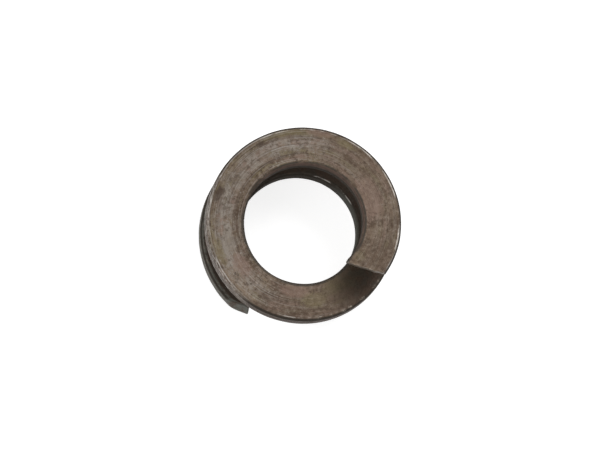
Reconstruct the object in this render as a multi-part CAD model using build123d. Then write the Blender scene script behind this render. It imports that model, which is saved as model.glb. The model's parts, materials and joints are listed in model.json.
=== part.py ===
from build123d import *
import math
import os

# Double-coil spring washer. A flat strip of spring steel is coiled on edge into a left-hand helix
# of a little over one and three quarter turns, and sheared off at a skew at both ends.
# Millimetres and degrees. +Z is the axis of the bore. Z = 0 is the plane that the foot stands on.
# Angles are counter-clockwise from +X, seen from +Z. The coil climbs clockwise, from foot to crown.

# Driving dimensions
BORE_RADIUS = 4.15          # clears an 8 mm (5/16 in) stud
STRIP_WIDTH = 2.75          # from bore to rim
STRIP_THICKNESS = 1.2
EDGE_RADIUS = 0.22          # rolled corners of the strip
PITCH = 3.2                 # rise in one turn, with the washer free
COIL_SWEEP = 636            # from foot to crown, at the middle of the strip
FOOT_ANGLE = 235.5          # where the foot ends, at the middle of the strip
CROP_SKEW = 22              # between a sheared end and a radial line, seen from above
CROP_LEAN = 10              # lean of a sheared end from vertical, clockwise at its top
FOOT_FLAT_DEPTH = 0.62      # flat struck on the foot's outer corner: how far it lies inside the rim
FOOT_FLAT_TURN = 17         # from the foot's end round to the direction that the flat faces
FOOT_FLAT_LEAN = 14         # lean of the flat from vertical, inwards at its top
CROWN_NIP = 0.2             # how far the crown's sharp inner corner is broken back

# Allowances for the tools that trim the strip. They leave no mark on the finished washer.
TRIM = 0.3                  # stock left on the strip's two edges, before they are turned round
RUN_OUT = 24                # extra coil at each end, before the ends are sheared
TOOL_REACH = 4.0            # how far a shearing tool runs on past its cutting face

OUTER_RADIUS = BORE_RADIUS + STRIP_WIDTH
MEAN_RADIUS = BORE_RADIUS + STRIP_WIDTH / 2
CROWN_ANGLE = FOOT_ANGLE - COIL_SWEEP


def rise(angle):
    """Height of the strip's middle above where it is at the foot's end, at an angle along the coil."""
    return PITCH * (FOOT_ANGLE - angle) / 360


def at(angle, radius, height):
    """A point at an angle, a radius and a height."""
    turn = math.radians(angle)
    return Vector(radius * math.cos(turn), radius * math.sin(turn), height)


def coiled_strip():
    """The strip as coiled, longer than needed at both ends, turned round and with its corners rolled."""
    start_angle = FOOT_ANGLE + RUN_OUT
    climb = PITCH * (COIL_SWEEP + 2 * RUN_OUT) / 360
    spine = Helix(PITCH, climb, MEAN_RADIUS, lefthand=True)
    spine = Pos(0, 0, rise(start_angle)) * Rot(0, 0, start_angle) * spine
    section_plane = Plane(origin=spine @ 0, x_dir=at(start_angle, 1, 0), z_dir=spine % 0)
    section = section_plane * Rectangle(STRIP_WIDTH + 2 * TRIM, STRIP_THICKNESS)
    stock = sweep(section, path=spine, is_frenet=True)

    tube_height = climb + 4 * STRIP_THICKNESS
    tube = Cylinder(OUTER_RADIUS, tube_height) - Cylinder(BORE_RADIUS, tube_height)
    strip = stock & Pos(0, 0, rise(FOOT_ANGLE - COIL_SWEEP / 2)) * tube
    corners = [edge for edge in strip.edges() if edge.length > STRIP_WIDTH + TRIM]
    return fillet(corners, EDGE_RADIUS)


def shear(angle, way):
    """The block that a shear takes off one end of the strip, beyond a face at a skew and a lean.

    way is 1 at the foot, where the block lies counter-clockwise of its face, and -1 at the crown.
    """
    across = 2 * (STRIP_WIDTH + TRIM)
    block = Pos(0, way * TOOL_REACH / 2, 0) * Box(across, TOOL_REACH, PITCH)
    seat = Location(at(angle, MEAN_RADIUS, rise(angle)), (0, 0, angle + CROP_SKEW))
    return seat * Rot(CROP_LEAN, 0, 0) * block


def foot_flat():
    """The block beyond the flat on the foot's outer corner. The flat is set out on the underside."""
    block = Pos(TOOL_REACH / 2, 0, 0) * Box(TOOL_REACH, 2 * TOOL_REACH, PITCH)
    facing = FOOT_ANGLE + FOOT_FLAT_TURN
    corner = at(facing, OUTER_RADIUS - FOOT_FLAT_DEPTH, rise(FOOT_ANGLE) - STRIP_THICKNESS / 2)
    return Location(corner, (0, 0, facing)) * Rot(0, -FOOT_FLAT_LEAN, 0) * block


def crown_nip():
    """The block beyond the small flat that breaks the crown's inner corner.

    The corner lies where the skewed end meets the bore. The flat faces along the corner's bisector.
    """
    skew_at_bore = math.degrees(math.asin(MEAN_RADIUS * math.sin(math.radians(CROP_SKEW)) / BORE_RADIUS))
    corner_angle = CROWN_ANGLE + CROP_SKEW - skew_at_bore
    corner_half = (90 - skew_at_bore) / 2
    facing = CROWN_ANGLE + CROP_SKEW + 180 + corner_half
    block = Pos(TOOL_REACH / 2 - CROWN_NIP, 0, 0) * Box(TOOL_REACH, TOOL_REACH, PITCH)
    return Location(at(corner_angle, BORE_RADIUS, rise(CROWN_ANGLE)), (0, 0, facing)) * block


washer = coiled_strip() - shear(FOOT_ANGLE, 1) - shear(CROWN_ANGLE, -1) - foot_flat() - crown_nip()
washer = Pos(0, 0, -washer.bounding_box().min.Z) * washer.solids()[0]

os.makedirs("parts", exist_ok=True)
export_step(washer, "parts/spring_coil.step")

size = washer.bounding_box().size
print(f"across {size.X:.3f} by {size.Y:.3f}, free height {size.Z:.3f}")
print(f"solids {len(washer.solids())}, volume {washer.volume:.2f}, valid {washer.is_valid}")
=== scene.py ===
"""A double-coil spring washer of oil-darkened steel, and the plain stage that it lies on."""

import json
import math

import bpy
import numpy as np
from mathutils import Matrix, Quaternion, Vector


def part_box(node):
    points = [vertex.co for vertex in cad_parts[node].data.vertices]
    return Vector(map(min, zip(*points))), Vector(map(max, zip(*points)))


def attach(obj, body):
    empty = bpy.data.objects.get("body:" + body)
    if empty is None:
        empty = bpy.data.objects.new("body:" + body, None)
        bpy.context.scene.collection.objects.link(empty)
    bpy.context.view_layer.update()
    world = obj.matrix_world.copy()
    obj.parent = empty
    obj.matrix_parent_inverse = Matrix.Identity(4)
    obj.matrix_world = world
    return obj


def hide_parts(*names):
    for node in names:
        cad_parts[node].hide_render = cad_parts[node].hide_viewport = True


bl_info = {
    "name": "Double-Coil Spring Washer",
    "version": (1, 0, 0),
    "blender": (4, 5, 0),
    "location": "3D View > Sidebar > Spring Washer",
    "description": "Makes a coiled spring washer of oil-darkened steel, and its stage",
    "category": "Add Mesh",
}

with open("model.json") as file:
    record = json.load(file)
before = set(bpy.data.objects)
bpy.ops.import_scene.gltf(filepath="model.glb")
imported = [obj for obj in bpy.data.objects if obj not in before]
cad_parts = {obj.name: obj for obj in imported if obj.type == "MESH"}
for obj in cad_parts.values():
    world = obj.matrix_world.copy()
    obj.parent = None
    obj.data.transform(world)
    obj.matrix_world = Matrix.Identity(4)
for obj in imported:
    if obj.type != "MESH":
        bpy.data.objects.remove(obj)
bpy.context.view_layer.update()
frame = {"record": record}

MM = 0.001
DEG = math.pi / 180
CAD_NODE = "spring_coil"
BODY = "root"
CAD_LOW, CAD_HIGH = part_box(CAD_NODE)
CAD_RADIUS = (CAD_HIGH.x - CAD_LOW.x) / 2
CAD_BORE = next(m for m in frame["record"]["mounts"] if m["name"] == "bore")["dims"]["r_mm"] * MM

# Points along the underside, the rim, the face and the bore, and points round each corner
SECTION_STEPS = (20, 24, 42, 14)
CORNER_STEPS = 12

# Rows along the strip: the step at an end, the step in the middle, and each step's growth
END_STEP = 0.014 * MM
MIDDLE_STEP = 0.106 * MM
STEP_GROWTH = 1.3

# Each line of the coiling die: its height over the strip's middle, and its depth
DIE_LINES = tuple(
    (height * MM, groove * 1e-3 * MM)
    for height, groove in ((0.40, 30), (0.22, 22), (0.02, 34), (-0.20, 24), (-0.36, 20))
)

# The stage, in metres
FLOOR_HALF_WIDTH = 1.5
MAIN_LAMP_PLACE = (0.16, 0.20, 0.34)
MAIN_LAMP_WIDTH = 0.26
FILL_LAMP_PLACE = (-0.26, -0.06, 0.24)
FILL_LAMP_WIDTH = 0.30
FILL_LAMP_SHARE = 0.45
AIM_HEIGHT = 6.785 * MM
AIM_OFFSET = (0.435 * MM, 0.535 * MM)
SENSOR_WIDTH_MM = 36


def length(name, default, description):
    """A length that the user can change."""
    return bpy.props.FloatProperty(
        name=name, description=description, default=default, min=0, unit="LENGTH", precision=5
    )


def angle(name, degrees, description):
    """An angle that the user can change."""
    return bpy.props.FloatProperty(
        name=name, description=description, default=degrees * DEG, unit="ROTATION", subtype="ANGLE"
    )


def colour(name, default, description):
    """A colour that the user can change."""
    return bpy.props.FloatVectorProperty(
        name=name, description=description, default=default, min=0, max=1, size=3, subtype="COLOR"
    )


class WasherSizes(bpy.types.PropertyGroup):
    bore_radius: length("Bore radius", CAD_BORE, "Radius that the stud passes through")
    strip_width: length("Strip width", CAD_RADIUS - CAD_BORE, "Strip's width, from bore to rim")
    strip_thickness: length("Strip thickness", 1.2 * MM, "Strip's height, along the bore")
    edge_radius: length("Edge radius", 0.22 * MM, "Rolled corners of the strip")
    pitch: length("Pitch", 3.2 * MM, "Rise in one turn, with the washer free")
    coil_sweep: angle("Coil sweep", 636, "Turn from foot to crown")
    foot_angle: angle("Foot angle", 235.5, "Direction in which the foot ends")
    crop_skew: angle("Crop skew", 22, "Turn of a sheared end out of a radial line")
    crop_lean: angle("Crop lean", 10, "Lean of a sheared end out of upright")
    foot_flat_depth: length("Foot flat depth", 0.62 * MM, "How far the foot's flat lies inside the rim")
    foot_flat_turn: angle("Foot flat turn", 17, "From the foot's end to where its flat faces")
    foot_flat_lean: angle("Foot flat lean", 14, "Lean of the foot's flat, inwards at its top")
    crown_nip: length("Crown nip", 0.2 * MM, "How far the crown's inner corner is broken back")


class SteelFinish(bpy.types.PropertyGroup):
    brown: colour("Brown", (0.150, 0.108, 0.075), "Oil-browned steel")
    umber: colour("Umber", (0.064, 0.041, 0.026), "Darker browning, in clouds and streaks")
    rose: colour("Rose", (0.190, 0.127, 0.100), "Pinkish temper colour")
    olive: colour("Olive", (0.140, 0.113, 0.058), "Yellow-green temper colour")
    ash: colour("Ash", (0.200, 0.170, 0.140), "Greyer steel, where the browning is thin")
    scale: colour("Scale", (0.118, 0.119, 0.102), "Grey-green mill scale on the rim")
    # This colour paints dark red-brown spots, and the shade in the gap between the turns.
    bark_and_shade: colour("Bark", (0.046, 0.029, 0.020), "Dark red-brown spots and oil in the gap")
    # This colour is the bore's dark film, and is also painted as shade in the bore and in the gap between the
    # turns.
    soot_and_shade: colour("Soot", (0.042, 0.034, 0.026), "The film in the bore")
    silver: colour("Silver", (0.400, 0.375, 0.345), "Steel that is worn bare")
    burr: colour("Burr", (0.330, 0.285, 0.240), "Torn steel along the shears")


class StageSettings(bpy.types.PropertyGroup):
    camera_tilt: angle("Camera tilt", 15.8, "Between the view and the washer's axis")
    camera_heading: angle("Camera heading", 239.3, "Side of the washer that the camera stands on")
    camera_distance: length("Camera distance", 568 * MM, "From the camera to the washer")
    lens: bpy.props.FloatProperty(
        name="Lens", description="Focal length on a 36 mm sensor, in millimetres", default=481.5
    )
    lamp_power: bpy.props.FloatProperty(
        name="Lamp power", description="Power of the main lamp, in watts", default=0.85, min=0
    )


# The coil's shape


def strip_section(sizes):
    """Outline of the strip, once round: a rectangle with quarter-round corners.

    A point is a corner's centre plus the edge radius along the outward normal. Along a side the centre
    slides to the next corner and the normal stands still. Round a corner the centre stands still and
    the normal turns a quarter. The outline starts at the underside's bore end and goes to the rim.
    Returns the distance out and up from the strip's middle, and the normal's direction.
    """
    out_reach = sizes.strip_width / 2 - sizes.edge_radius
    up_reach = sizes.strip_thickness / 2 - sizes.edge_radius
    outs = out_reach * np.array([-1, 1, 1, -1, -1])
    ups = up_reach * np.array([-1, -1, 1, 1, -1])
    centre_out = []
    centre_up = []
    normal = []
    for side, count in enumerate(SECTION_STEPS):
        facing = (side - 1) * 90 * DEG
        share = np.linspace(0, 1, count, endpoint=False)
        centre_out += [outs[side] + (outs[side + 1] - outs[side]) * share]
        centre_up += [ups[side] + (ups[side + 1] - ups[side]) * share]
        normal += [np.full(count, facing)]
        centre_out += [np.full(CORNER_STEPS, outs[side + 1])]
        centre_up += [np.full(CORNER_STEPS, ups[side + 1])]
        normal += [facing + np.linspace(0, 90 * DEG, CORNER_STEPS, endpoint=False)]
    normal = np.concatenate(normal)
    out = np.concatenate(centre_out) + sizes.edge_radius * np.cos(normal)
    up = np.concatenate(centre_up) + sizes.edge_radius * np.sin(normal)
    return out, up, normal


def strip_rows(total):
    """Places along the strip, as distances: steps that grow evenly from each end to the middle's."""
    count = math.ceil(math.log(MIDDLE_STEP / END_STEP) / math.log(STEP_GROWTH))
    end = np.cumsum(END_STEP * STEP_GROWTH ** np.arange(count))
    middle = np.linspace(end[-1], total - end[-1], round((total - 2 * end[-1]) / MIDDLE_STEP) + 1)
    return np.concatenate(([0], end[:-1], middle, total - end[-2::-1], [total]))


def sheared_turn(out, up, where, sizes):
    """Direction in which each line of the strip meets a shear.

    The shear is a plane through the strip's middle, turned by the skew and leaned by the lean. On a
    line at radius r it lies where r sin(t - where - skew) = -m sin(skew) - h tan(lean), with m the
    mean radius and h the line's height over the strip's middle at the shear. The strip climbs as it
    turns, so h changes with t, and the formula is run until it settles.
    """
    mean = sizes.bore_radius + sizes.strip_width / 2
    turn = np.full(out.shape, where)
    for _ in range(5):
        height = up - sizes.pitch * (turn - where) / (2 * math.pi)
        side = mean * math.sin(sizes.crop_skew) + height * math.tan(sizes.crop_lean)
        turn = where + sizes.crop_skew - np.arcsin(side / (mean + out))
    return turn


def hills(along, around, spacing, cells, seed):
    """Soft random hills, from -1 to 1: random heights on a net, joined by smooth steps.

    The net's cells are one spacing long, and a whole number of them goes round the strip.
    """
    i = np.floor(along / spacing).astype(int)
    j = np.floor(around * cells).astype(int)
    a = along / spacing - i
    b = around * cells - j
    a = a * a * (3 - 2 * a)
    b = b * b * (3 - 2 * b)
    i = i - i.min()
    net = np.random.default_rng(seed).uniform(-1, 1, (i.max() + 2, cells))
    near = net[i, j % cells] * (1 - b) + net[i, (j + 1) % cells] * b
    far = net[i + 1, j % cells] * (1 - b) + net[i + 1, (j + 1) % cells] * b
    return near * (1 - a) + far * a


def ease(value, low, high):
    """0 below low, 1 above high, and a smooth step between."""
    share = np.clip((value - low) / (high - low), 0, 1)
    return share * share * (3 - 2 * share)


def unevenness(distance, spacing, seed):
    """Soft random values along a line, from -1 to 1."""
    return hills(distance, 0 * distance, spacing, 1, seed)


def bell(value, centre, width):
    """A bell: 1 at the centre, and near 0 two widths away."""
    return np.exp(-(((value - centre) / width) ** 2))


def die_marks(along, out, up, sizes):
    """Depth of the lines that the rollers and the coiling die left, all along the rim.

    Each line is a bell-shaped groove at one height, which wanders a little and comes and goes.
    """
    half_width = sizes.strip_width / 2
    on_rim = ease(out, half_width - 0.26 * MM, half_width - 0.1 * MM)
    depth = np.zeros(along.shape)
    for number, (height, groove) in enumerate(DIE_LINES):
        wander = 0.05 * MM * unevenness(along, 7 * MM, 40 + number)
        here = 0.55 + 0.45 * unevenness(along, 4 * MM, 60 + number)
        depth += groove * here * bell(up, height + wander, 0.045 * MM)
    return depth * on_rim


def skin_relief(along, around, out, up, sizes):
    """How far the skin lies out from the plain strip: dents, rolled-in pits and lines along the rim."""
    dents = 14e-3 * MM * (hills(along, around, 2.3 * MM, 9, 1) - 0.3)
    ripples = 5e-3 * MM * (hills(along, around, 0.5 * MM, 31, 2) - 0.5)
    pits = -24e-3 * MM * ease(hills(along, around, 0.24 * MM, 47, 3), 0.66, 0.95)
    return np.minimum(dents + ripples, 0) + pits - die_marks(along, out, up, sizes)


def round_over(distance, radius):
    """Inset of a small quarter-round edge, at a distance from the edge."""
    short = np.clip(radius - distance, 0, radius)
    return radius - np.sqrt(radius**2 - short**2)


def end_relief(from_foot, from_crown, out, up, normal):
    """How far the skin lies out near the sheared ends.

    The shear rounds each end over. Along the crown's top edge it throws a thin ragged lip up, with a
    shallow dish behind it.
    """
    top = ease(np.sin(normal), 0.6, 0.95)
    ragged = 0.55 + 0.45 * unevenness(out + 2 * MM, 0.16 * MM, 8)
    lip = 34e-3 * MM * ragged * bell(from_crown, 0.035 * MM, 0.05 * MM)
    dish = 42e-3 * MM * bell(from_crown, 0, 0.42 * MM)
    rounding = round_over(from_foot, 0.05 * MM) + round_over(from_crown, 0.03 * MM) * (1 - 0.7 * top)
    return top * (lip - dish) - rounding


def rim_burr(along, out, up, sizes):
    """Share, from 0 to 1, of the torn burr along a stretch of the face's outer edge."""
    stretch = ease(along, 25.5 * MM, 26.6 * MM) * ease(-along, -31.2 * MM, -29.4 * MM)
    line = bell(out, sizes.strip_width / 2 - 0.16 * MM, 0.09 * MM) * ease(up, 0.3 * MM, 0.45 * MM)
    ragged = ease(unevenness(along, 0.17 * MM, 12), -0.35, 0.7)
    return stretch * line * ragged


def struck_back(points, facing, reach, lean, height, where):
    """Points past an upright or leaning plane, moved straight back to it, with a softly rounded edge.

    The plane faces one direction, and lies at a reach from the axis at a height. The overshoot is
    taken off by a soft step, so that it changes smoothly from none to all of it over the edge.
    Returns the points, and the share, from 0 to 1, in which each was moved.
    """
    soft = 0.022 * MM
    past = points @ np.array([math.cos(facing), math.sin(facing), math.tan(lean)])
    past = past - reach - height * math.tan(lean)
    taken = soft * np.logaddexp(0, past / soft) * where
    direction = np.array([math.cos(facing), math.sin(facing), 0])
    return points - taken[..., None] * direction, ease(taken, 0.01 * MM, 0.05 * MM)


def strip_skin(sizes):
    """The strip's skin, uncoiled, with its dents and its worn ends.

    Returns the rows' distances from the foot and from the crown, then for each point its distance out
    and up from the strip's middle, the normal's direction, and its share of the rim's burr.
    """
    out_line, up_line, normal_line = strip_section(sizes)
    mean = sizes.bore_radius + sizes.strip_width / 2
    lead = math.atan(sizes.pitch / (2 * math.pi * mean))
    total = sizes.coil_sweep * mean

    from_foot = strip_rows(total)[:, None]
    from_crown = total - from_foot
    columns = len(out_line)
    out = np.broadcast_to(out_line, (len(from_foot), columns))
    up = np.broadcast_to(up_line, out.shape)
    normal = np.broadcast_to(normal_line, out.shape)
    along = np.broadcast_to(from_foot, out.shape)
    around = np.broadcast_to(np.arange(columns)[None, :] / columns, out.shape)

    burr_on_rim = rim_burr(along, out, up, sizes)
    relief = skin_relief(along, around, out, up, sizes) * ease(np.minimum(from_foot, from_crown), 0, 0.3 * MM)
    relief = relief + end_relief(from_foot, from_crown, out, up, normal) + 24e-3 * MM * burr_on_rim
    out = out + relief * np.cos(normal)
    up = (up + relief * np.sin(normal)) / math.cos(lead)
    return from_foot, from_crown, out, up, normal, burr_on_rim


def crown_lip(from_crown, normal, sizes):
    """Share, from 0 to 1, of the torn lip along the crown's top edge."""
    out_line = strip_section(sizes)[0]
    lip = bell(from_crown, 0, 0.042 * MM) * ease(np.sin(normal), 0.5, 0.9)
    return lip * (0.38 + 0.38 * unevenness(out_line + 2 * MM, 0.3 * MM, 9))


def coil_points(sizes):
    """The whole skin as one grid: the foot's sheared face, the strip, and the crown's sheared face.

    Rows run from the middle of one sheared face, over its edge, along the strip and to the middle of
    the other. Columns run round the strip. A point stands at turn t, at radius mean + out and at
    height base + pitch (foot - t) / one turn + up, so each column of the strip is a helix.
    Returns the points, the place of each in the strip in millimetres, and the shares, from 0 to 1,
    in which it belongs to a sheared face, to a burr and to the struck flat.
    """
    mean = sizes.bore_radius + sizes.strip_width / 2
    crown_angle = sizes.foot_angle - sizes.coil_sweep
    from_foot, from_crown, out, up, normal, burr_on_rim = strip_skin(sizes)

    shares = np.linspace(0, 1, 15)[1:-1] ** 0.8
    foot_out, crown_out = (shares[:, None] * out[0], shares[::-1, None] * out[-1])
    foot_up, crown_up = (shares[:, None] * up[0], shares[::-1, None] * up[-1])
    ends_out = (np.vstack((foot_out, out[:1])), np.vstack((out[-1:], crown_out)))
    ends_up = (np.vstack((foot_up, up[:1])), np.vstack((up[-1:], crown_up)))
    foot_turn = sheared_turn(ends_out[0], ends_up[0], sizes.foot_angle, sizes)
    crown_turn = sheared_turn(ends_out[1], ends_up[1], crown_angle, sizes)
    foot_turn -= tear_depth(ends_out[0], ends_up[0], sizes, 21) / mean
    crown_turn += tear_depth(ends_out[1], ends_up[1], sizes, 22) / mean

    share = from_foot / (sizes.coil_sweep * mean)
    foot_skew = (foot_turn[-1:] - sizes.foot_angle) * (1 - share) ** 8
    crown_skew = (crown_turn[:1] - crown_angle) * share**8
    turn = sizes.foot_angle - sizes.coil_sweep * share + foot_skew + crown_skew

    turn = np.vstack((foot_turn[:-1], turn, crown_turn[1:]))
    out = np.vstack((foot_out, out, crown_out))
    up = np.vstack((foot_up, up, crown_up))
    radius = mean + out
    height = sizes.pitch * (sizes.foot_angle - turn) / (2 * math.pi) + up
    points = np.stack((radius * np.cos(turn), radius * np.sin(turn), height), axis=-1)
    points, struck = trimmed_ends(points, turn, sizes)

    caps = (len(foot_out), len(crown_out))
    sheared = np.zeros(turn.shape)
    sheared[: caps[0] + 1] = 1
    sheared[-caps[1] - 1 :] = 1
    lip = crown_lip(from_crown, normal, sizes)
    burr = np.vstack((0 * foot_out, np.maximum(burr_on_rim, lip), np.repeat(lip[-1:], caps[1], 0)))
    burr[-caps[1] :] *= shares[::-1, None] ** 12
    place = np.stack(((sizes.foot_angle - turn) * mean, out, up), axis=-1) / MM
    return points, place, {"sheared": sheared, "burr": burr, "struck": struck}


def tear_depth(out, up, sizes, seed):
    """Depth of the tear over a sheared face: a wavy cut, upright scores, and a rougher lower half."""
    across = out + sizes.strip_width
    wave = unevenness(across, 0.55 * MM, seed) * 0.5 + 0.5
    scores = unevenness(across, 0.10 * MM, seed + 1) * 0.5 + 0.5
    rough = hills(across, (up / sizes.strip_thickness) % 1, 0.15 * MM, 9, seed + 2) * 0.5 + 0.5
    lower = ease(-up, -0.15 * sizes.strip_thickness, 0.2 * sizes.strip_thickness)
    return (105e-3 * wave + 30e-3 * scores + 22e-3 * rough * lower) * MM


def trimmed_ends(points, turn, sizes):
    """The foot's flat, struck on its outer corner, and the crown's sharp inner corner broken back."""
    mean = sizes.bore_radius + sizes.strip_width / 2
    crown_angle = sizes.foot_angle - sizes.coil_sweep
    near_foot = ease(turn, sizes.foot_angle - 70 * DEG, sizes.foot_angle - 50 * DEG)
    facing = sizes.foot_angle + sizes.foot_flat_turn
    reach = mean + sizes.strip_width / 2 - sizes.foot_flat_depth
    foot_base = -sizes.strip_thickness / 2
    points, struck = struck_back(points, facing, reach, sizes.foot_flat_lean, foot_base, near_foot)

    near_crown = ease(-turn, -crown_angle - 70 * DEG, -crown_angle - 50 * DEG)
    skew_at_bore = math.asin(mean * math.sin(sizes.crop_skew) / sizes.bore_radius)
    corner = crown_angle + sizes.crop_skew - skew_at_bore
    facing = crown_angle + sizes.crop_skew + math.pi + (math.pi / 2 - skew_at_bore) / 2
    reach = sizes.bore_radius * math.cos(corner - facing) - sizes.crown_nip
    return struck_back(points, facing, reach, 0, 0, near_crown)[0], struck


def closed_skin(rows, columns):
    """Faces of a closed skin: squares between the rows, and a fan of triangles at each end.

    The last column joins the first. The two extra points after the grid are the fans' middles.
    """
    row = np.arange(rows - 1)[:, None] * columns
    here = np.arange(columns)[None, :]
    following = (here + 1) % columns
    squares = np.stack((row + here, row + following, row + columns + following, row + columns + here), -1)
    first = np.stack((0 * here + rows * columns, following, here), -1)
    last_row = (rows - 1) * columns
    last = np.stack((0 * here + rows * columns + 1, last_row + here, last_row + following), -1)
    return squares.reshape(-1, 4), np.concatenate((first.reshape(-1, 3), last.reshape(-1, 3)))


def mesh_of(name, points, squares, triangles):
    """A smooth-shaded mesh from arrays of points, four-sided faces and triangles."""
    mesh = bpy.data.meshes.new(name)
    corners = np.concatenate((squares.ravel(), triangles.ravel())).astype(np.int32)
    counts = np.concatenate((np.full(len(squares), 4), np.full(len(triangles), 3)))
    mesh.vertices.add(len(points))
    mesh.vertices.foreach_set("co", points.astype(np.float32).ravel())
    mesh.loops.add(len(corners))
    mesh.loops.foreach_set("vertex_index", corners)
    mesh.polygons.add(len(counts))
    mesh.polygons.foreach_set("loop_start", (np.cumsum(counts) - counts).astype(np.int32))
    mesh.polygons.foreach_set("use_smooth", np.ones(len(counts), bool))
    mesh.update(calc_edges=True)
    mesh.validate()
    return mesh


def store(mesh, name, kind, values):
    """Keeps one value or vector for each point of the mesh, for its material to read."""
    attribute = mesh.attributes.new(name, kind, "POINT")
    field = "vector" if kind == "FLOAT_VECTOR" else "value"
    attribute.data.foreach_set(field, values.astype(np.float32).ravel())


def with_poles(grid):
    """A grid's values in a row, followed by the means of its first and last rows."""
    flat = grid.reshape(-1, *grid.shape[2:])
    return np.concatenate((flat, grid[:1].mean(axis=1), grid[-1:].mean(axis=1)))


# Materials


class Value:
    """A number or a colour in a material. Arithmetic on numbers adds the Math nodes for it."""

    def __init__(self, finish, socket):
        self.finish = finish
        self.socket = socket

    def __add__(self, other):
        return self.finish.math("ADD", self, other)

    def __sub__(self, other):
        return self.finish.math("SUBTRACT", self, other)

    def __mul__(self, other):
        return self.finish.math("MULTIPLY", self, other)

    def __rsub__(self, other):
        return self.finish.math("SUBTRACT", other, self)

    __radd__ = __add__
    __rmul__ = __mul__


class Finish:
    """A material's or the world's nodes, while they are put together."""

    def __init__(self, owner):
        owner.use_nodes = True
        self.owner = owner
        self.tree = owner.node_tree
        self.tree.nodes.clear()

    def add(self, kind, settings=None, sockets=None, output=0):
        """One node: its settings first, then the values or links of its sockets."""
        node = self.tree.nodes.new(kind)
        for name, value in (settings or {}).items():
            setattr(node, name, value)
        for key, value in (sockets or {}).items():
            if isinstance(value, Value):
                self.tree.links.new(value.socket, node.inputs[key])
            else:
                node.inputs[key].default_value = value
        return Value(self, node.outputs[output]) if len(node.outputs) else node

    def math(self, operation, *values):
        return self.add("ShaderNodeMath", {"operation": operation}, dict(enumerate(values)))

    def size_of(self, value):
        return self.math("ABSOLUTE", value)

    def parts(self, vector):
        """The three numbers of a vector."""
        node = self.add("ShaderNodeSeparateXYZ", {}, {0: vector}).socket.node
        return [Value(self, socket) for socket in node.outputs]

    def vector(self, x, y, z):
        return self.add("ShaderNodeCombineXYZ", {}, {0: x, 1: y, 2: z})

    def ease(self, value, low, high):
        """0 at low, 1 at high, and a smooth step between."""
        sockets = {"Value": value, "From Min": low, "From Max": high}
        return self.add("ShaderNodeMapRange", {"interpolation_type": "SMOOTHSTEP"}, sockets)

    def noise(self, vector, scale, detail=3.0, roughness=0.55):
        sockets = {"Vector": vector, "Scale": scale, "Detail": detail, "Roughness": roughness}
        return self.add("ShaderNodeTexNoise", {}, sockets)

    def mix(self, share, first, second):
        """The first colour where the share is 0, and the second where it is 1."""
        first, second = (c if isinstance(c, Value) else (*c, 1) for c in (first, second))
        return self.add("ShaderNodeMix", {"data_type": "RGBA"}, {0: share, 6: first, 7: second}, 2)


class Strip:
    """Where a point of the material lies on the strip, in millimetres, and the grain of the steel there.

    Streaks and hairlines are noise drawn out along the strip, and the rest is noise that is even in
    all directions. The stretch of face that the crown's end shades is where the crown's shadow is painted.
    """

    def __init__(self, f):
        self.place = f.add("ShaderNodeAttribute", {"attribute_name": "strip"}, output=1)
        self.along, self.across, self.up = f.parts(self.place)
        self.clouds = f.noise(self.place, 0.55, 4, 0.6)
        self.patches = f.noise(self.place, 1.7, 3, 0.6)
        self.mottle = f.noise(self.place, 4.4, 4, 0.6)
        self.blotch = f.noise(self.place, 6, 3, 0.6)
        self.grain = f.noise(self.place, 12, 3, 0.6)
        self.tint = self.drawn_out(f, 0.5, 1.6, 31)
        self.streaks = self.drawn_out(f, 0.08, 4.5, 0, 4)
        self.hairs = self.drawn_out(f, 0.16, 12, 7)
        self.dashes = self.drawn_out(f, 3.6, 11, 3)
        self.rubbed = self.drawn_out(f, 0.9, 3, 17, 4)
        self.rim = f.ease(self.across, 1.25, 1.33)
        self.bore = f.ease(self.across, -1.20, -1.33)
        self.outer_edge = f.ease(self.across, 1.02, 1.14)
        # Mask of the stretch of face beside the crown's end, where the crown's shadow is painted.
        self.crown_shadow = self.stretch(f, 26.3, 28.6, 1.6)

    def drawn_out(self, f, along, across, start, detail=3):
        vector = f.vector(self.along * along + start, self.across * across, self.up * across)
        return f.noise(vector, 1, detail, 0.6)

    def stretch(self, f, start, end, fade):
        """1 between two places along the strip, fading to 0 outside them."""
        return f.ease(self.along, start - fade, start) * f.ease(self.along, end + fade, end)


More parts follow.
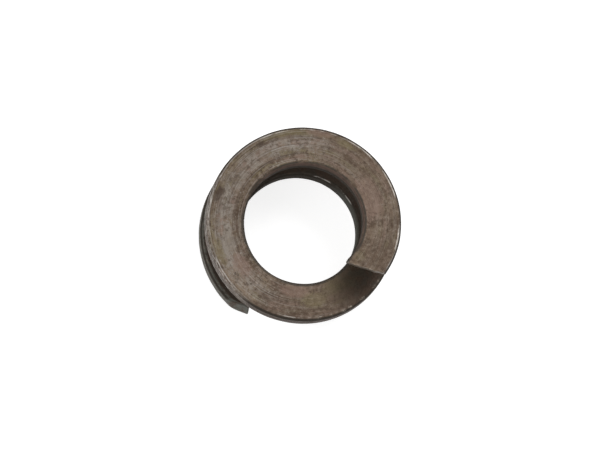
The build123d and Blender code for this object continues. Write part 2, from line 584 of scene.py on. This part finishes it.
def browning(f, strip, colours):
    """Oil browning over the whole strip: clouded, tinted and streaked.

    It has more ash-grey patches along the middle of the face from about 37 to 48 mm, and is smoother and
    darker towards the crown and just after the crown's shadow. The crown's shadow is painted in umber and
    olive, with fewer streaks.
    """
    steel = f.mix(f.ease(strip.clouds, 0.38, 0.66) * 0.85, colours.brown, colours.umber)
    steel = f.mix(f.ease(strip.tint, 0.52, 0.66) * 0.65, steel, colours.rose)
    steel = f.mix(f.ease(strip.tint, 0.47, 0.34) * 0.65, steel, colours.olive)
    smooth = f.ease(strip.along, 48.5, 52) + f.ease(strip.along, 35, 32)
    # Streaks are fainter where the crown's shadow is painted, and where the face is smoother.
    drawn = (1 - smooth * 0.6) * (1 - strip.crown_shadow * 0.7)
    # More ash-grey patches along the middle of the face from about 37 to 48 mm.
    middle = f.ease(f.size_of(strip.across - 0.15), 1.0, 0.2) * strip.stretch(f, 37, 48, 4)
    thin = strip.stretch(f, 36.5, 40, 3) * 0.3 + middle * 0.7 + 0.1
    steel = f.mix(smooth * 0.42, steel, colours.umber)
    steel = f.mix(f.ease(strip.patches, 0.40, 0.58) * thin, steel, colours.ash)
    steel = f.mix(f.ease(strip.streaks, 0.51, 0.66) * drawn * 0.6, steel, colours.umber)
    steel = f.mix(f.ease(strip.streaks, 0.46, 0.33) * drawn * 0.55, steel, colours.ash)
    steel = f.mix(f.ease(strip.mottle, 0.51, 0.66) * 0.65, steel, colours.umber)
    steel = f.mix(f.ease(strip.mottle, 0.45, 0.30) * (drawn * 0.35 + 0.15), steel, colours.ash)
    steel = f.mix(f.ease(strip.hairs, 0.54, 0.68) * drawn * 0.5, steel, colours.bark_and_shade)
    steel = f.mix(f.ease(strip.hairs, 0.44, 0.32) * drawn * 0.32, steel, colours.silver)
    spots = f.ease(strip.grain * 0.55 + strip.mottle * 0.45, 0.55, 0.63)
    steel = f.mix(spots * (drawn * 0.5 + 0.15), steel, colours.bark_and_shade)
    flecks = f.ease(strip.grain * 0.7 + strip.mottle * 0.3, 0.42, 0.34)
    steel = f.mix(flecks * drawn * 0.38, steel, colours.silver)
    steel = f.mix(middle * 0.08, steel, colours.silver)
    # Painted shadow of the crown's end: umber towards the rim and olive towards the bore.
    oil = f.mix(f.ease(strip.across, 0.5, -0.7), colours.umber, colours.olive)
    return f.mix(strip.crown_shadow * 0.45, steel, oil)


def handling_marks(f, strip, colours, steel):
    """Stains and smooth patches, each at its own place along and across the strip, in millimetres."""
    marks = (
        (38.2, 0.75, 1.0, 0.35, 0.5, colours.olive),
        (38.6, -0.10, 0.9, 0.50, 0.6, colours.ash),
        (36.7, -0.20, 1.1, 0.60, 0.6, colours.rose),
        (55.5, -0.50, 2.0, 0.80, 0.45, colours.rose),
        (48.0, 1.00, 1.4, 0.25, 0.55, colours.olive),
        (49.8, 1.00, 0.9, 0.30, 0.5, colours.rose),
        (51.5, 0.80, 0.7, 0.25, 0.5, colours.olive),
        (32.0, -0.70, 1.3, 0.50, 0.5, colours.rose),
        (30.5, -0.10, 1.1, 0.60, 0.4, colours.olive),
        (41.9, 0.80, 0.55, 0.28, 0.75, colours.bark_and_shade),
        (46.0, 0.85, 0.4, 0.22, 0.6, colours.bark_and_shade),
        (53.8, 0.30, 0.35, 0.70, 0.4, colours.umber),
        (60.0, 0.10, 1.4, 0.90, 0.35, colours.umber),
    )
    for along, across, half_length, half_width, share, stain in marks:
        x = (strip.along - along) * (1 / half_length)
        y = (strip.across - across) * (1 / half_width)
        inside = f.ease(x * x + y * y + (strip.blotch - 0.5) * 2.2, 1.3, 0.25)
        steel = f.mix(inside * share, steel, stain)
    return steel


def rim_finish(f, strip, colours, steel):
    """The rim and the face's edge: mottled mill scale on the foot's turn, then a darker lower part of the rim
    from 28 to 34.5 mm, then broken lines.
    """
    scale = strip.outer_edge * strip.stretch(f, -1, 24, 2)
    steel = f.mix(scale * 0.85, steel, colours.scale)
    steel = f.mix(scale * f.ease(strip.blotch, 0.50, 0.38) * 0.65, steel, colours.ash)
    steel = f.mix(scale * f.ease(strip.mottle, 0.52, 0.60) * 0.6, steel, colours.bark_and_shade)
    darker_low_rim = strip.rim * strip.stretch(f, 28, 34.5, 1) * f.ease(strip.up, -0.50, -0.34)
    steel = f.mix(darker_low_rim * 0.85, steel, colours.bark_and_shade)
    lined = f.ease(strip.across, 1.04, 1.26) * f.ease(strip.along, 34, 36.5)
    lines = strip.drawn_out(f, 0.12, 7.5, 0, 2)
    steel = f.mix(lined * f.ease(lines, 0.50, 0.56) * 0.6, steel, colours.soot_and_shade)
    steel = f.mix(lined * f.ease(lines, 0.46, 0.40) * 0.5, steel, colours.silver)
    fresh = lined * strip.stretch(f, 36, 42, 2.5)
    steel = f.mix(fresh * f.ease(strip.dashes, 0.51, 0.57) * 0.7, steel, colours.bark_and_shade)
    return f.mix(fresh * f.ease(strip.dashes, 0.46, 0.40) * 0.65, steel, colours.silver)


def bore_finish(f, strip, colours, steel):
    """The bore and the gap between the turns: painted shade in the gap, a dark film in the bore that is
    darkened further as painted shade, and a painted band of light along the bore's upper edge.
    """
    # Painted shade in the gap: on the lower turn's top face under the upper turn and on past the crown's end,
    # and on the undersides from about 27 to 31 mm on.
    over = f.ease(strip.along, 30.2, 26.2) * f.ease(strip.up, -0.2, 0.5)
    under = f.ease(strip.along, 27.0, 31.0) * f.ease(strip.up, -0.3, -0.52)
    over = over * (1 - strip.outer_edge * f.ease(strip.along, 26, 23))
    gap = f.math("MAXIMUM", over, under) * (1 - strip.rim)
    steel = f.mix(gap * 0.82, steel, f.mix(f.ease(strip.patches, 0.4, 0.6), colours.soot_and_shade, colours.bark_and_shade))
    # The bore's dark film, darkened further as painted shade.
    film_and_shade = f.mix(strip.stretch(f, 19.5, 24, 2.5) * 0.6, colours.soot_and_shade, colours.scale)
    steel = f.mix(strip.bore * 0.96, steel, film_and_shade)
    # A painted band of light along the upper part of the bore wall, from about 45 to 58.5 mm.
    painted_light_band = strip.bore * strip.stretch(f, 45, 58.5, 3) * f.ease(strip.up, 0.0, 0.25)
    steel = f.mix(painted_light_band * (0.35 + 0.3 * f.ease(strip.rubbed, 0.42, 0.55)), steel, colours.rose)
    seam = f.ease(f.size_of(strip.across + 1.20), 0.09, 0.04) * f.ease(strip.up, 0.3, 0.5)
    return f.mix(seam * f.ease(strip.rubbed, 0.66, 0.50) * 0.9, steel, colours.soot_and_shade)


def worn_edges(f, strip):
    """Share of bare steel along the edges, where the browning is rubbed off."""
    across, up, rubbed = strip.across, strip.up, strip.rubbed
    under_edge = f.ease(up, -0.41, -0.50) * f.ease(across, 1.20, 1.28) * f.ease(rubbed, 0.38, 0.52)
    under_edge = under_edge * (0.35 + strip.stretch(f, 34.5, 41, 1.5) * 0.65)
    face_edge = f.ease(f.size_of(across - 1.17), 0.06, 0.02) * f.ease(up, 0.4, 0.5)
    face_edge = face_edge * f.ease(rubbed, 0.46, 0.58) * f.ease(strip.along, 27, 29)
    bore_edge = f.ease(f.size_of(across + 1.26), 0.045, 0.015) * f.ease(up, 0.30, 0.42)
    bore_edge = bore_edge * f.ease(rubbed, 0.47, 0.53) * strip.stretch(f, 15.8, 19.8, 0.5)
    return f.math("MINIMUM", under_edge * 0.8 + face_edge * 0.55 + bore_edge * 0.7, 1.0)


def steel_material(colours):
    """Drawn spring steel, browned in oil: clouded, streaked along the coil, and worn along its edges."""
    material = bpy.data.materials.new("oil_browned_steel")
    f = Finish(material)
    strip = Strip(f)
    burr = f.add("ShaderNodeAttribute", {"attribute_name": "burr"}, output=2)
    sheared = f.add("ShaderNodeAttribute", {"attribute_name": "sheared"}, output=2)
    struck = f.add("ShaderNodeAttribute", {"attribute_name": "struck"}, output=2)

    steel = browning(f, strip, colours)
    steel = handling_marks(f, strip, colours, steel)
    steel = rim_finish(f, strip, colours, steel)
    steel = bore_finish(f, strip, colours, steel)
    outline = f.ease(strip.across, 1.21, 1.27) * f.ease(strip.up, 0.30, 0.42)
    outline = outline * (1 - strip.stretch(f, 36, 41.5, 2))
    steel = f.mix(outline * 0.9, steel, colours.soot_and_shade)
    worn = worn_edges(f, strip)
    steel = f.mix(worn, steel, colours.silver)
    torn = f.math("MINIMUM", burr * f.ease(strip.grain, 0.47, 0.54) + burr * 0.12, 1.0)
    steel = f.mix(torn, steel, colours.burr)
    steel = f.mix(sheared * 0.6, steel, colours.ash)
    facet = f.mix(f.ease(strip.patches, 0.4, 0.6), colours.scale, colours.umber)
    steel = f.mix(struck * 0.85, steel, facet)

    bare = f.math("MINIMUM", worn + torn * 0.6, 1.0)
    height = strip.hairs * 0.45 + strip.streaks * 0.6 + strip.grain * 0.5 + strip.mottle * 0.6
    bump = f.add("ShaderNodeBump", {}, {"Strength": 0.5, "Distance": 0.06 * MM, "Height": height})
    dull = f.math("MAXIMUM", strip.bore, outline)
    shader = f.add(
        "ShaderNodeBsdfPrincipled",
        {},
        {
            "Base Color": steel,
            "Metallic": 0.45 + bare * 0.5 - dull * 0.4,
            "Roughness": 0.50 + (strip.mottle - 0.5) * 0.35 + dull * 0.4 - bare * 0.14,
            "Specular IOR Level": 0.25,
            "Normal": bump,
        },
    )
    f.add("ShaderNodeOutputMaterial", {}, {"Surface": shader})
    return material


def seen_directly(f):
    """1 where a ray shows the background itself: from the camera, in a reflection or through glass."""
    node = f.add("ShaderNodeLightPath").socket.node
    camera, glossy, clear = (
        Value(f, node.outputs[name]) for name in ("Is Camera Ray", "Is Glossy Ray", "Is Transmission Ray")
    )
    return f.math("MINIMUM", camera + glossy + clear, 1.0)


def floor_material():
    """Pale matt paper, which shows as white and keeps a soft shadow."""
    material = bpy.data.materials.new("pale_paper")
    f = Finish(material)
    paper = f.add("ShaderNodeBsdfDiffuse", {}, {"Color": (0.62, 0.62, 0.62, 1)})
    glow = f.add("ShaderNodeEmission", {}, {"Color": (1, 1, 1, 1), "Strength": seen_directly(f) * 0.78})
    both = f.add("ShaderNodeAddShader", {}, {0: paper, 1: glow})
    f.add("ShaderNodeOutputMaterial", {}, {"Surface": both})
    return material


# Operators


class WASHER_OT_make_coil(bpy.types.Operator):
    """Make the coil from its sizes, in place of the plain CAD solid"""

    bl_idname = "washer.make_coil"
    bl_label = "Make Coil"

    def execute(self, context):
        sizes = context.scene.washer_sizes
        points, place, shares = coil_points(sizes)
        rows, columns = points.shape[:2]
        points[..., 2] += CAD_LOW.z - points[..., 2].min()
        mesh = mesh_of("coil", with_poles(points), *closed_skin(rows, columns))
        store(mesh, "strip", "FLOAT_VECTOR", with_poles(place))
        for name, values in shares.items():
            store(mesh, name, "FLOAT", with_poles(values))
        mesh.materials.append(steel_material(context.scene.washer_finish))
        coil = bpy.data.objects.new("coil", mesh)
        context.scene.collection.objects.link(coil)
        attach(coil, BODY)
        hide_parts(CAD_NODE)
        return {"FINISHED"}


class WASHER_OT_set_stage(bpy.types.Operator):
    """Lay the floor, hang the lamps and stand the camera"""

    bl_idname = "washer.set_stage"
    bl_label = "Set Stage"

    def execute(self, context):
        stage = context.scene.washer_stage
        self.lay_floor(context)
        self.light_world(context)
        main_power = stage.lamp_power
        fill_power = stage.lamp_power * FILL_LAMP_SHARE
        self.hang_lamp(context, "main_lamp", MAIN_LAMP_PLACE, MAIN_LAMP_WIDTH, main_power)
        self.hang_lamp(context, "fill_lamp", FILL_LAMP_PLACE, FILL_LAMP_WIDTH, fill_power)
        self.stand_camera(context, stage)
        context.scene.view_settings.view_transform = "Standard"
        return {"FINISHED"}

    def lay_floor(self, context):
        """A wide square just under the washer."""
        half = FLOOR_HALF_WIDTH
        square = np.array([(-half, -half), (half, -half), (half, half), (-half, half)])
        points = np.column_stack((square, np.full(4, CAD_LOW.z)))
        mesh = mesh_of("floor", points, np.array([[0, 1, 2, 3]]), np.zeros((0, 3), int))
        mesh.materials.append(floor_material())
        floor = bpy.data.objects.new("floor", mesh)
        context.scene.collection.objects.link(floor)

    def light_world(self, context):
        """Even pale light from all round, behind which the background itself is white."""
        world = bpy.data.worlds.new("studio")
        context.scene.world = world
        f = Finish(world)
        strength = 0.36 + seen_directly(f) * 0.64
        sky = f.add("ShaderNodeBackground", {}, {"Color": (1, 1, 1, 1), "Strength": strength})
        f.add("ShaderNodeOutputWorld", {}, {"Surface": sky})

    def hang_lamp(self, context, name, place, width, power):
        """A square soft lamp, turned to the washer."""
        lamp = bpy.data.lights.new(name, "AREA")
        lamp.size = width
        lamp.energy = power
        holder = bpy.data.objects.new(name, lamp)
        holder.location = place
        holder.rotation_euler = (-Vector(place)).to_track_quat("-Z", "Y").to_euler()
        context.scene.collection.objects.link(holder)

    def stand_camera(self, context, stage):
        """A long lens near the bore's axis, tipped towards the heading, with the coil in the middle."""
        lens = bpy.data.cameras.new("camera")
        lens.sensor_width = SENSOR_WIDTH_MM
        lens.lens = stage.lens
        lens.clip_start = 0.01
        lens.clip_end = 10
        across = Vector((-math.sin(stage.camera_heading), math.cos(stage.camera_heading), 0))
        turned = Quaternion(across, stage.camera_tilt)
        off_middle = Vector((*AIM_OFFSET, -stage.camera_distance))
        camera = bpy.data.objects.new("camera", lens)
        camera.rotation_mode = "QUATERNION"
        camera.rotation_quaternion = turned
        camera.location = Vector((0, 0, AIM_HEIGHT)) - turned @ off_middle
        context.scene.collection.objects.link(camera)
        context.scene.camera = camera


class WASHER_PT_panel(bpy.types.Panel):
    bl_label = "Spring Washer"
    bl_idname = "WASHER_PT_panel"
    bl_space_type = "VIEW_3D"
    bl_region_type = "UI"
    bl_category = "Spring Washer"

    def draw(self, context):
        scene = context.scene
        for settings in (scene.washer_sizes, scene.washer_finish, scene.washer_stage):
            box = self.layout.box()
            for name in settings.__annotations__:
                box.prop(settings, name)
        self.layout.operator(WASHER_OT_make_coil.bl_idname)
        self.layout.operator(WASHER_OT_set_stage.bl_idname)


CLASSES = (
    WasherSizes,
    SteelFinish,
    StageSettings,
    WASHER_OT_make_coil,
    WASHER_OT_set_stage,
    WASHER_PT_panel,
)


def register():
    for cls in CLASSES:
        bpy.utils.register_class(cls)
    bpy.types.Scene.washer_sizes = bpy.props.PointerProperty(type=WasherSizes)
    bpy.types.Scene.washer_finish = bpy.props.PointerProperty(type=SteelFinish)
    bpy.types.Scene.washer_stage = bpy.props.PointerProperty(type=StageSettings)


def unregister():
    del bpy.types.Scene.washer_stage
    del bpy.types.Scene.washer_finish
    del bpy.types.Scene.washer_sizes
    for cls in reversed(CLASSES):
        bpy.utils.unregister_class(cls)


def main():
    register()
    bpy.ops.washer.make_coil()
    bpy.ops.washer.set_stage()


if __name__ == "__main__":
    main()
